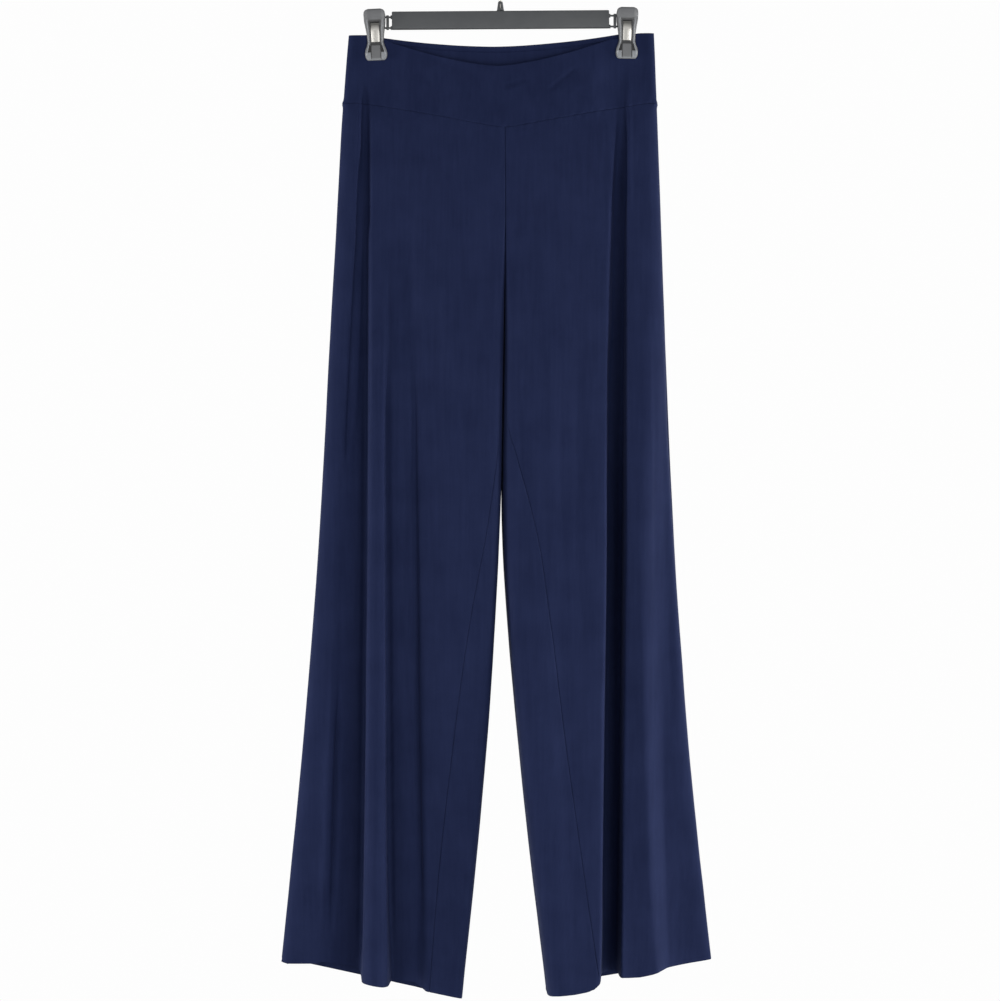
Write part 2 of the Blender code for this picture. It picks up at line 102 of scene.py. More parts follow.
jersey = {
    "shade": "#161F3F",  # between the stitches
    "face": "#1F284A",
    "wale": 1.5,  # between columns of stitches: really 0.6, drawn coarser so that it shows
    "course": 1.2,  # between rows of stitches: really 0.5
    "knitDepth": 0.10,
    "slubDepth": 0.35,
}


def polyesterJersey():
    # stretch polyester jersey, circular knitted and dyed: matt, with a faint sheen at grazing angles
    made, tree, surface = newMaterial(
        "polyesterJersey",
        {"Roughness": 0.8, "IOR": 1.45, "Specular IOR Level": 0.14, "Sheen Weight": 0.08,
         "Sheen Roughness": 0.4, "Sheen Tint": linear("#8C96C4")},
    )
    cloth = addNode(tree, "UVMap", {"uv_map": "cloth"}).outputs["UV"]
    place = addNode(tree, "TexCoord", {}).outputs["Object"]
    bands = [
        addNode(
            tree, "TexWave",
            {"wave_type": "BANDS", "bands_direction": axis, "Scale": math.pi / 10 / (jersey[size] * mm),
             "Distortion": 0.6, "Detail": 1.0},
            ("Vector", cloth),
        ).outputs["Fac"]
        for axis, size in (("X", "wale"), ("Y", "course"))
    ]
    stitches = addNode(tree, "Math", {"operation": "MULTIPLY"}, (0, bands[0]), (1, bands[1]))
    # streaks a few millimetres wide down the cloth, and clouds of 20 to 60 mm across it
    down = addNode(tree, "Mapping", {"Scale": (260, 260, 14)}, ("Vector", place))
    streaks = addNoise(tree, down.outputs["Vector"], 1.0, 3.0, 0.6)
    clouds = addNoise(tree, place, 26.0, 4.0, 0.6)
    dye = addNode(tree, "Mix", {"data_type": "FLOAT", 0: 0.55}, (2, streaks), (3, clouds))
    spread = addNode(tree, "MapRange", {"From Min": 0.3, "From Max": 0.7}, ("Value", dye.outputs[0]))
    colour = addNode(
        tree, "Mix", {"data_type": "RGBA", 6: linear(jersey["shade"]), 7: linear(jersey["face"])},
        (0, spread.outputs["Result"]),
    )
    tree.links.new(colour.outputs[2], surface.inputs["Base Color"])
    slub = addBump(tree, 0.5, jersey["slubDepth"], clouds)
    knit = addBump(tree, 0.6, jersey["knitDepth"], stitches.outputs[0], ("Normal", slub))
    tree.links.new(knit, surface.inputs["Normal"])
    return made


def mouldedPolypropylene(name, paintedShade, dark, light, paintedLight, roughness):
    # injection moulded polypropylene: satin, with a fine spark-eroded grain and tones mixed at random;
    # highlights are painted paler on raised parts and shade is painted darker in hollows
    made, tree, surface = newMaterial(name, {"IOR": 1.49, "Specular IOR Level": 0.45})
    place = addNode(tree, "TexCoord", {}).outputs["Object"]
    mottleAndPaintedLight = addNoise(tree, place, 60.0, 5.0, 0.65)
    colour = addNode(tree, "Mix", {"data_type": "RGBA", 6: linear(dark), 7: linear(light)}, (0, mottleAndPaintedLight))
    # above 0 the surface gets a painted highlight, and below 0 it lies in a hollow and gets painted shade
    litAndShaded = addNode(tree, "Attribute", {"attribute_name": "paintedHighlightAndShade"}).outputs["Fac"]
    hollow = addNode(tree, "Math", {"operation": "MULTIPLY", "use_clamp": True, 1: -1.0}, (0, litAndShaded))
    shadedInHollows = addNode(
        tree, "Mix", {"data_type": "RGBA", 7: linear(paintedShade)}, (0, hollow.outputs[0]), (6, colour.outputs[2])
    )
    # mixes in the painted highlight colour
    edges = addNode(
        tree, "Mix", {"data_type": "RGBA", 7: linear(paintedLight)}, (0, litAndShaded), (6, shadedInHollows.outputs[2])
    )
    tree.links.new(edges.outputs[2], surface.inputs["Base Color"])
    gloss = addNode(tree, "MapRange", {"To Min": roughness - 0.08, "To Max": roughness + 0.1}, ("Value", mottleAndPaintedLight))
    tree.links.new(gloss.outputs["Result"], surface.inputs["Roughness"])
    grain = addBump(tree, 0.25, 0.06, addNoise(tree, place, 1600.0, 2.0))
    tree.links.new(grain, surface.inputs["Normal"])
    return made


def zincPlatedSteel():
    # drawn steel, bright zinc plated: a soft mirror with fine draw lines
    made, tree, surface = newMaterial(
        "zincPlatedSteel", {"Base Color": linear("#F0EDE6"), "Metallic": 1.0, "Roughness": 0.38}
    )
    place = addNode(tree, "TexCoord", {}).outputs["Object"]
    drawn = addNode(tree, "Mapping", {"Scale": (1400, 1400, 60)}, ("Vector", place))
    lines = addBump(tree, 0.12, 0.02, addNoise(tree, drawn.outputs["Vector"], 1.0, 2.0))
    tree.links.new(lines, surface.inputs["Normal"])
    return made


jerseyCloth = polyesterJersey()
# colours in turn: painted shade for hollows, a dark and a light tone mixed at random, and a painted highlight
# for raised parts
barPlastic = mouldedPolypropylene("charcoalPolypropylene", "#303234", "#4C4E50", "#5A5C5E", "#6C6E70", 0.46)
clipPlastic = mouldedPolypropylene("greyPolypropylene", "#3A3A3B", "#67686A", "#7B7C7E", "#94979B", 0.38)
steel = zincPlatedSteel()
print("materials made")


def finished(bm, name, material, nodes, sharp=40):
    bmesh.ops.recalc_face_normals(bm, faces=bm.faces[:])
    mesh = bpy.data.meshes.new(name)
    bm.to_mesh(mesh)
    bm.free()
    mesh.shade_smooth()
    mesh.set_sharp_from_angle(angle=math.radians(sharp))
    mesh.materials.append(material)
    piece = addObject(name, mesh)
    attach(piece, "root")
    if nodes:
        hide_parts(*nodes)
    return piece


level = {"top": -96.7, "seam": -174, "hip": -336, "crease": -296, "crotch": -442, "fork": -640, "knee": -890,
         "hem": -1150}
hang = {
    "centre": 5,  # centre seam at the waist
    "sideClear": 12,  # folds fade out next to the side
    "innerClear": 8,  # and next to the inside of the leg
    "sideRound": 10,
    "sideStraight": 0.6,  # share of the side's depth before it rounds to the face
    "faceStraight": (0.3, 0.7),  # shares of the width between which a face turns from outer to inner
    "seamFade": 190,  # below the waist seam, until the levels no longer bend with it
    "step": 0.5,  # between the points that an outline is worked out on
    "corner": 2.2,  # how far either side the cloth rounds a corner
    "crown": 0.28,  # share of its depth that a fold has lost where its walls begin
    "legGap": 0.4,
    "seamGap": 0.04,
    "lap": {"front": 0.8, "back": -2.2},  # the centre seams lie a little to one side of each other
}
# a level of a leg: where the cloth turns at the side and at the inside, and how deep the faces lie
sectionColumns = "z sideX sideY frontOuter frontInner backOuter backInner innerX round".split()
# a fold down a face: the lines of its two edges as z and x, the width of each wall at the waist and at
# the hem, the share of its width at which it is deepest, and its depth at four levels
foldLevels = ("hip", "fork", "knee", "hem")
foldColumns = ("face", "start", "full", "low", "high", "lowWall", "highWall", "deepest", *foldLevels)
rightLeg = {
    "way": 1,
    "hemSide": -1124.5,
    "hemInner": -1167.5,
    # how far the front's hem lifts along its width, in the valleys and between them
    "hemLift": (
        (-244, -2.5), (-236, -2.5), (-207, 4), (-197, 8), (-158, 8.5), (-153, 0.5), (-140, 1), (-128, 1.2),
        (-122, 2.5), (-118, 4), (-95, 6), (-82, 0),
    ),
    "strip": "right",
    "sections": (
        (-96.7, -168, 0, -4, -6, 3.6, 1.6, 5, 2),
        (-174, -174, 0, -10, -17, 8, 9, 5, 2),
        (-336, -183, 0, -15, -25, 15, 17, 5, 3),
        (-442, -189, 0, -16, -27, 17, 21, 4.3, 15),
        (-640, -200, 3, -14, -28, 18, 22, 0, 16),
        (-890, -219, 6, -8, -20, 18, 20, -15.5, 16),
        (-1150, -243.5, 12, 2, 1, 20, 17, -42, 14),
    ),
    "folds": (
        # the valley under the clip, the second valley and the tube between them
        (-1, -120, -240, ((-174, -153.6), (-336, -161), (-449, -166.4), (-560, -173.6), (-1150, -202)),
         ((-174, -141.8), (-300, -142.4), (-420, -142.8), (-1000, -146), (-1150, -147.5)),
         (4, 31), (10, 3), 0.8, -5, -7, 1, 11),
        (-1, -400, -560, ((-174, -132), (-1150, -132)), ((-174, -89), (-1150, -78.5)), (6, 6), (12, 14), 0.45,
         -24, -19, -8, 10),
        (-1, -300, -560, ((-174, -143.2), (-420, -146), (-669, -148.8), (-1000, -152.8), (-1150, -155.5)),
         ((-174, -124.5), (-1150, -120.5)), (5, 4.5), (4, 3), 0.5, -26, -30, -33, -36),
        # two soft folds down the back
        (1, -140, -300, ((-174, -144), (-1150, -153)), ((-174, -112), (-1150, -122)), (12, 12), (12, 10), 0.5,
         1, 3, -2, -8),
        (1, -480, -700, ((-174, -98), (-1150, -96)), ((-174, -58), (-1150, -54)), (16, 16), (14, 14), 0.5,
         16, 12, 4, 15),
    ),
    # a soft crease: face, height of its crest (a trough is below 0), half width (or one for its right
    # flank and one for its left), how long its ends take to fade, and the line it follows as x and z
    "creases": (
        (-1, -3.4, 2.4, 50, ((-153.5, -215), (-156.5, -327), (-161, -400), (-166, -503), (-170, -590))),
        (-1, 1.6, 3, 60, ((-153.5, -270), (-155, -393), (-159, -503), (-163, -570))),
        (-1, -1.0, 6, 90, ((-170, -540), (-174, -640), (-175, -779), (-180, -889), (-188, -1080))),
        (-1, -4.6, 2.6, 90, ((-176, -800), (-180, -889), (-183.5, -999), (-188, -1110))),
        (-1, 1.4, 5, 90, ((-184, -800), (-188, -889), (-192, -999), (-198, -1110))),
        (-1, -2.0, 3, 60, ((-149, -280), (-149.5, -443), (-149.6, -669), (-152.6, -889), (-156.5, -1145))),
        (-1, -2.2, 9, 130, ((-101, -250), (-100, -400), (-97, -560))),
        (-1, 0.7, 6, 150, ((-112, -440), (-112, -640), (-110, -800), (-106, -990))),
        (-1, -3.6, 2.6, 110, ((-94, -430), (-93.5, -620), (-92.5, -800), (-90, -980), (-87, -1100))),
        (-1, -3.4, 2.4, 120, ((-124, -420), (-123.5, -620), (-122, -900), (-120.5, -1150))),
        (-1, -1.5, 8, 90, ((-37, -430), (-34, -560), (-31, -720))),
        (-1, 0.8, 9, 80, ((-60, -330), (-58, -500), (-56, -640))),
        (-1, -0.7, 4, 60, ((-48, -820), (-46, -960), (-47, -1080))),
        (1, -1.6, 8, 120, ((-60, -220), (-63, -420), (-66, -640))),
        (1, 1.2, 7, 90, ((-86, -300), (-90, -520), (-98, -760))),
        (1, -1.4, 6, 110, ((-160, -420), (-168, -700), (-182, -1050))),
        (1, -0.9, 4, 60, ((-112, -800), (-116, -1080))),
        (1, -1.1, 6, 70, ((-25, -250), (-22, -380))),
    ),
}
leftLeg = {
    "way": -1,
    "hemSide": -1127,
    "hemInner": -1157,
    "hemLift": (
        (60, 0), (82, -1.5), (96, -1), (103, 1), (107, 3.5), (110, 6), (130, 5), (133, 1.5), (143, -0.5),
        (155, -2), (168, -1.5), (180, 0),
    ),
    "strip": "left",
    "sections": (
        (-96.7, 171, 0, -4, -6, 3.6, 1.6, 5, 2),
        (-174, 174, 0, -10, -17, 8, 9, 5, 2),
        (-336, 179.5, 0, -15, -25, 15, 17, 5, 3),
        (-442, 183.5, 0, -16, -28, 17, 21, 4.3, 15),
        (-640, 192.5, 4, -10, -29, 20, 23, 2.5, 20),
        (-890, 210, 12, 0, -34.5, 24, 26, 21.5, 24),
        (-1150, 236.5, 24.5, 20, -46, 29, 28, 51.5, 26),
    ),
    "folds": (
        # the lobe beside the valley under the clip, the valley and the outer lobe
        (-1, -420, -640, ((-174, 40), (-640, 48), (-890, 54), (-1150, 62)), ((-174, 126), (-1150, 122)),
         (36, 26), (8, 8), 0.5, -22, -26.5, -31.5, -44),
        (-1, -160, -330,
         ((-150, 130), (-217, 126), (-270, 122), (-340, 119.6), (-504, 117.4), (-724, 116), (-834, 113.6),
          (-1054, 111.2), (-1150, 109)),
         ((-150, 141), (-250, 140.6), (-504, 140.6), (-614, 139.8), (-834, 137.4), (-1054, 135.5),
          (-1150, 135)),
         (8, 5), (3, 3), 0.6, 1, 12, 16, 23),
        (-1, -200, -500, ((-174, 136.5), (-504, 136.5), (-834, 133.5), (-1054, 130.9), (-1150, 129.5)),
         ((-174, 196), (-504, 188), (-724, 183.5), (-1000, 184), (-1150, 189)), (4, 6), (46, 16), 0.5,
         -18, -22, -16, -5.5),
        # two soft folds down the back
        (1, -130, -290, ((-174, 142), (-1150, 146)), ((-174, 174), (-1150, 180)), (12, 14), (10, 14), 0.5,
         1, 5, 11, 21),
        (1, -500, -740, ((-174, 70), (-1150, 68)), ((-174, 104), (-1150, 102)), (14, 14), (14, 14), 0.5,
         17, 15, 10, 4),
    ),
    "creases": (
        (-1, -1.3, 7, 80, ((18, -420), (22, -520), (31, -650))),
        (-1, -1.6, 9, 120, ((84, -400), (88, -560), (90, -820))),
        (-1, -0.9, 3.5, 60, ((64, -810), (65, -900), (67, -1020))),
        (-1, 1.2, (9, 3.5), 140, ((165, -360), (166.5, -560), (166.5, -800), (167, -1100))),
        (-1, -2.6, 3, 80, ((122.5, -400), (122, -560), (121, -800), (116, -1100))),
        (-1, -1.6, 7, 120, ((182, -420), (184, -560), (187, -700), (191, -900))),
        (-1, 0.9, 8, 100, ((55, -380), (58, -560), (60, -760))),
        (1, -1.6, 8, 120, ((58, -220), (62, -420), (66, -660))),
        (1, 1.1, 8, 90, ((98, -300), (108, -560), (116, -820))),
        (1, -1.3, 6, 110, ((150, -600), (156, -860), (160, -1080))),
        (1, -1.0, 5, 70, ((128, -240), (126, -420))),
        (1, -1.1, 6, 70, ((34, -260), (30, -400))),
    ),
}
# creases that run from the waistband down into the valleys under the clips
underClips = (
    (-1, -3.2, (3, 5), 34, ((-150.5, -142), (-150, -200), (-148.5, -330))),
    (-1, 0.8, 3, 30, ((-156, -150), (-156, -200), (-153, -300))),
    (-1, -6.0, (9, 2.4), 110, ((138.2, -118), (137, -200), (136.8, -340))),
    (-1, 0.9, 3, 30, ((143, -136), (143, -200), (143, -300))),
)
legs = (rightLeg, leftLeg)
# the inside leg seam: how much of the inner wall it has crossed, and how far round on the front it is
inseam = {
    "z": (-442, -500, -560, -650, -750, -860, -980, -1150),
    "wall": (0, 0.55, 0.95, 1, 1, 1, 1, 1),
    "right": (0, 0, 0, 9.5, 23.5, 31.5, 36, 34),
    "left": (0, 0, 9, 31, 40, 43.5, 47, 49),
}
centreLine = {"z": (-96.7, -336, -442, -560, -640), "x": (5, 5, 4.3, 2.3, 0.6)}
clips = {"right": {"x": -138.2, "lean": -2.4}, "left": {"x": 139.8, "lean": 1.4}}  # lean in degrees
grip = {
    "z": -115,  # middle of the jaws
    "half": 12.5,  # half the width that they hold flat
    "spread": 26,  # beside it, until the cloth hangs free
    "bottom": -127,
    "fade": 75,  # below it, until the cloth hangs free
    "depth": 2.55,  # of each face from the middle while it is held
}
hangerTilt = 0.4  # degrees: the wearer's left end hangs the higher


def ease(share):
    t = np.clip(share, 0.0, 1.0)
    return t * t * (3 - 2 * t)


def follow(levels, values, z):
    # a smooth curve through one value for each level, from the top level down
    levels, values = np.array(levels, float), np.array(values, float)
    z = float(np.clip(z, levels[-1], levels[0]))
    slopes = np.gradient(values, levels)
    i = int(np.clip(np.searchsorted(-levels, -z) - 1, 0, len(levels) - 2))
    step = levels[i + 1] - levels[i]
    t = (z - levels[i]) / step
    rise = (2 * t**3 - 3 * t**2 + 1) * values[i] + (3 * t**2 - 2 * t**3) * values[i + 1]
    return rise + step * ((t**3 - 2 * t**2 + t) * slopes[i] + (t**3 - t**2) * slopes[i + 1])


def sectionAt(leg, z):
    levels = [row[0] for row in leg["sections"]]
    return {name: follow(levels, column, z) for name, column in zip(sectionColumns, zip(*leg["sections"]))}


def spline(controls, steps=40):
    # a cubic B-spline that begins and ends on its end points
    p = np.array([controls[0]] * 2 + list(controls) + [controls[-1]] * 2, float)
    t = np.arange(steps)[:, None] / steps
    weights = ((1 - t) ** 3, 3 * t**3 - 6 * t**2 + 4, -3 * t**3 + 3 * t**2 + 3 * t + 1, t**3)
    spans = [sum(w * p[i + k] for k, w in enumerate(weights)) / 6 for i in range(len(p) - 3)]
    return np.concatenate(spans + [p[-1:]])


def folded(points, leg, row, face):
    # lays the folds of one face into its outline, and pinches it where a clip grips
    x, y = points[:, 0], points[:, 1].copy()
    down = (level["seam"] - row["z"]) / (level["seam"] - level["hem"])
    inside = ease(abs(x - row["sideX"]) / hang["sideClear"])
    inside = inside * ease((abs(x - row["innerX"]) - 0.5) / hang["innerClear"])
    for values in leg["folds"]:
        fold = dict(zip(foldColumns, values))
        if fold["face"] != face:
            continue
        low, high = (follow(*zip(*fold[side]), row["z"]) for side in ("low", "high"))
        lowWall, highWall = (
            above + (below - above) * down for above, below in (fold["lowWall"], fold["highWall"])
        )
        depth = follow([level[k] for k in foldLevels], [fold[k] for k in foldLevels], row["z"])
        strength = ease((fold["start"] - row["z"]) / (fold["start"] - fold["full"]))
        reach = ease((x - low) / lowWall) * ease((high - x) / highWall)
        middle = low + (high - low) * fold["deepest"]
        off = np.where(x < middle, (middle - x) / (middle - low), (x - middle) / (high - middle))
        reach *= 1 - hang["crown"] * np.clip(off, 0, 1) ** 2
        y += strength * inside * reach * (depth - y)
    for clip in clips.values():
        across = 1 - ease((abs(x - clip["x"]) - grip["half"]) / grip["spread"])
        along = 1 - ease((grip["bottom"] - row["z"]) / grip["fade"])
        y += inside * across * along * (face * grip["depth"] - y)
    return np.column_stack((x, y))


def facesOf(leg, z, gap):
    # the outer lines of the front and of the back of a leg, both from the side to the inside. Below the
    # waist they round the inside of the leg and meet half way between its faces
    row, way = sectionAt(leg, z), leg["way"]
    centre = follow(centreLine["z"], centreLine["x"], z)
    innerX = row["innerX"] = way * (min(way * row["innerX"], way * centre) - gap / 2)
    crease = ease((level["crease"] - z) / (level["crease"] - level["crotch"]))
    middle = (row["frontInner"] + row["backInner"]) / 2
    sideX, sideY, width = row["sideX"], row["sideY"], innerX - row["sideX"]
    outlines = []
    for face, side in ((-1, "front"), (1, "back")):
        outer, inner = row[side + "Outer"], row[side + "Inner"]
        lap = hang["lap"][side]
        controls = (
            (sideX, sideY),
            (sideX, sideY + hang["sideStraight"] * (outer - sideY)),
            (sideX + way * hang["sideRound"], outer),
            (sideX + width * hang["faceStraight"][0], outer),
            (sideX + width * hang["faceStraight"][1], inner),
            (innerX - way * row["round"] + lap, inner),
            (innerX + lap, inner),
            (innerX + lap * (1 - crease), inner + (middle - inner) * crease),
        )
        outlines.append(folded(spline(controls), leg, row, face))
    return outlines


def evenly(points):
    along = np.concatenate(([0.0], np.cumsum(np.linalg.norm(np.diff(points, axis=0), axis=1))))
    spots = np.linspace(0, along[-1], round(along[-1] / hang["step"]) + 1)
    return np.column_stack([np.interp(spots, along, points[:, k]) for k in (0, 1)])


def softened(points):
    # rounds the corners of an even line and leaves its ends in place
    reach = round(hang["corner"] / hang["step"])
    before = 2 * points[0] - points[reach:0:-1]
    after = 2 * points[-1] - points[-2 : -reach - 2 : -1]
    line = np.concatenate((before, points, after))
    weights = np.hanning(2 * reach + 3)[1:-1]
    weights /= weights.sum()
    return np.column_stack([np.convolve(line[:, k], weights, "valid") for k in (0, 1)])


def measuredFaces(leg, z, gap):
    # the front and the back line, each as distances from the side, points and outward normals
    front, back = (evenly(points) for points in facesOf(leg, z, gap))
    loop = softened(np.concatenate((front[::-1], back[1:])))
    tangent = np.gradient(loop, axis=0)
    tangent /= np.linalg.norm(tangent, axis=1, keepdims=True)
    normal = np.column_stack((-tangent[:, 1], tangent[:, 0])) * leg["way"]
    side = len(front) - 1
    lines = []
    for points, normals in ((loop[side::-1], normal[side::-1]), (loop[side:], normal[side:])):
        steps = np.linalg.norm(np.diff(points, axis=0), axis=1)
        lines.append((np.concatenate(([0.0], np.cumsum(steps))), points, normals))
    return lines


def joined(first, second):
    along = np.concatenate((first[0], first[0][-1] + second[0][-1] - second[0][::-1][1:]))
    points = np.concatenate((first[1], second[1][::-1][1:]))
    return along, points, np.concatenate((first[2], second[2][::-1][1:]))


hanging = Matrix.Rotation(math.radians(-hangerTilt), 4, "Y")
bar = {
    "length": 241,
    "top": -70.9,
    "height": 19.3,
    "depth": 8.5,
    "edge": 1.2,
    "rim": 1.7,  # round the hollow in the underside
    "hollow": 4,
    "armLevels": (-76.6, -88.6),
    "armRadius": 1.05,
    "armRoot": 116,
    "armReach": 147,
    "collarRadius": 2.1,
    "collarLength": 1.5,
    "barrelRadius": 3.6,  # the barrel that a clip rocks on
    "barrelHalf": 5,
    "slideInner": 14.4,  # the slide that joins the arms beside a clip
    "slideOuter": 11.4,
    "slideDepth": 4.4,
    "slideLap": 1.9,  # above the upper arm and below the lower one
    "slideEdge": 0.6,
}


def settled(bm, name, material, nodes, turn=None, sharp=40):
    # from millimetres in the hanger's own place to the model's
    bmesh.ops.transform(bm, matrix=Matrix.Scale(mm, 4) @ (turn or hanging), verts=bm.verts[:])
    return finished(bm, name, material, nodes, sharp)


def rounded(bm, edges, size, segments, clamp=False):
    bmesh.ops.bevel(
        bm, geom=edges, offset=size, offset_type="OFFSET", affect="EDGES", segments=segments, profile=0.5,
        material=-1, clamp_overlap=clamp,
    )


def newSheet(shape):
    # a sheet whose vertices know their spot, counted along its rows
    rows, columns = shape
    bm = bmesh.new()
    bmesh.ops.create_grid(bm, x_segments=columns - 1, y_segments=rows - 1, size=1.0)
    spot = bm.verts.layers.int.new("spot")
    for v in bm.verts:
        v[spot] = round((v.co.x + 1) / 2 * (columns - 1)) + columns * round((v.co.y + 1) / 2 * (rows - 1))
    return bm, spot


def doubled(bm):
    # makes a shell of a sheet, and gives the vertices of its second side
    grown = bmesh.ops.extrude_face_region(bm, geom=bm.faces[:], use_keep_orig=True)["geom"]
    return {g for g in grown if isinstance(g, bmesh.types.BMVert)}


def addBlock(bm, low, high, edge):
    made = bmesh.ops.create_cube(bm, size=1.0)["verts"]
    bmesh.ops.scale(bm, verts=made, vec=Vector(high) - Vector(low))
    bmesh.ops.translate(bm, verts=made, vec=(Vector(high) + Vector(low)) / 2)
    rounded(bm, [e for e in bm.edges if e.verts[0] in made], edge, 4)


def addRod(bm, start, end, z, radius, edge=0.3):
    made = bmesh.ops.create_cone(
        bm, cap_ends=True, segments=32, radius1=radius, radius2=radius, depth=abs(end - start)
    )["verts"]
    bmesh.ops.rotate(bm, verts=made, cent=(0, 0, 0), matrix=Matrix.Rotation(math.pi / 2, 3, "Y"))
    bmesh.ops.translate(bm, verts=made, vec=((start + end) / 2, 0, z))
    rims = [e for e in bm.edges if e.verts[0] in made and any(len(f.verts) > 4 for f in e.link_faces)]
    rounded(bm, rims, edge, 3)


bm = bmesh.new()
half, bottom = bar["length"] / 2, bar["top"] - bar["height"]
addBlock(bm, (-half, -bar["depth"] / 2, bottom), (half, bar["depth"] / 2, bar["top"]), bar["edge"])
bm.normal_update()
under = max((f for f in bm.faces if f.normal.z < -0.99), key=lambda f: f.calc_area())
bmesh.ops.inset_region(bm, faces=[under], thickness=bar["rim"] - bar["edge"])
under = bmesh.ops.extrude_discrete_faces(bm, faces=[under])["faces"][0]
bmesh.ops.translate(bm, verts=under.verts[:], vec=(0, 0, bar["hollow"]))
for clip in clips.values():
    end = math.copysign(1, clip["x"])
    for z in bar["armLevels"]:
        addRod(bm, end * bar["armRoot"], end * bar["armReach"], z, bar["armRadius"])
        addRod(bm, end * bar["armRoot"], end * (half + bar["collarLength"]), z, bar["collarRadius"])
    addRod(
        bm, clip["x"] - bar["barrelHalf"], clip["x"] + bar["barrelHalf"], bar["armLevels"][1],
        bar["barrelRadius"],
    )
    near, far = sorted((clip["x"] - end * bar["slideInner"], clip["x"] - end * bar["slideOuter"]))
    addBlock(
        bm, (near, -bar["slideDepth"] / 2, bar["armLevels"][1] - bar["slideLap"]),
        (far, bar["slideDepth"] / 2, bar["armLevels"][0] + bar["slideLap"]), bar["slideEdge"],
    )
settled(bm, "hangerBar", barPlastic, ["hanger_bar"])

neck = {
    "base": -70.6,
    "tip": -60.1,
    "bore": 1.9,
    "slotFoot": -68.2,  # a slot front and back shows the shank of the hook
    "slotTop": -62.8,
    "slotTurn": 20,  # degrees either side of the middle
}
bm = bmesh.new()
profile = (
    (0, neck["base"]), (4.2, neck["base"]), (3.9, neck["base"] + 1.2), (3.6, neck["slotFoot"]),
    (2.9, neck["slotTop"]), (2.5, neck["tip"] - 0.6), (2.0, neck["tip"]), (neck["bore"], neck["tip"] - 0.3),
    (neck["bore"], neck["slotTop"]), (neck["bore"], neck["slotFoot"]), (neck["bore"], neck["base"] + 2),
    (0, neck["base"] + 2),
)
line = [bm.verts.new((r, 0, z)) for r, z in profile]
edges = [bm.edges.new(pair) for pair in zip(line, line[1:])]
bmesh.ops.spin(
    bm, geom=line + edges, cent=(0, 0, 0), axis=(0, 0, 1), angle=2 * math.pi, steps=72, use_merge=True
)
bmesh.ops.remove_doubles(bm, verts=bm.verts[:], dist=1e-4)
bmesh.ops.recalc_face_normals(bm, faces=bm.faces[:])
cut = []
for f in bm.faces:
    middle = f.calc_center_median()
    across = math.degrees(math.atan2(abs(middle.x), abs(middle.y)))
    if across < neck["slotTurn"] and neck["slotFoot"] < middle.z < neck["slotTop"]:
        cut.append(f)
bmesh.ops.delete(bm, geom=cut, context="FACES")
for side in (-1, 1):
    rim = [e for e in bm.edges if e.is_boundary and e.verts[0].co.y * side > 0]
    bmesh.ops.bridge_loops(bm, edges=rim)
settled(bm, "hangerNeck", barPlastic, ["hanger_neck"])

hook = {
    "wire": 1.6,
    "crook": 17,
    "shank": ((0, -68.3), (0, -60), (0, -52), (0.8, -46.5), (3.6, -42), (8, -38)),
    "bend": (-50, 202),  # degrees round the crook
    "tip": ((0.9, 0.8), (1.4, 0.35)),  # how far past the bend, and the share of the wire's thickness
}
turns = np.radians(np.linspace(*hook["bend"], 64))
radius = hook["crook"] + hook["wire"]
bend = np.column_stack((radius * np.cos(turns), -hook["crook"] + radius * np.sin(turns)))
wire = bpy.data.curves.new("hookWire", "CURVE")
wire.dimensions = "3D"
wire.bevel_depth = hook["wire"]
wire.bevel_resolution = 6
wire.use_fill_caps = True
run = wire.splines.new("POLY")
path = np.concatenate((spline(hook["shank"], 6), bend))
# the end of the wire is rounded off in steps past the bend
beyond = (path[-1] - path[-2]) / np.linalg.norm(path[-1] - path[-2])
thickness = [1.0] * len(path) + [share for _, share in hook["tip"]]
path = [*path, *(path[-1] + far * beyond for far, _ in hook["tip"])]
run.points.add(len(path) - 1)
for point, (x, z), share in zip(run.points, path, thickness):
    point.co = (x, 0, z, 1)
    point.radius = share
drawn = addObject("hookWire", wire)
bm = bmesh.new()
bm.from_mesh(bpy.data.meshes.new_from_object(drawn.evaluated_get(bpy.context.evaluated_depsgraph_get())))
bpy.data.objects.remove(drawn)
settled(bm, "hangerHook", steel, ["hanger_hook"])
print("bar, neck and hook made")

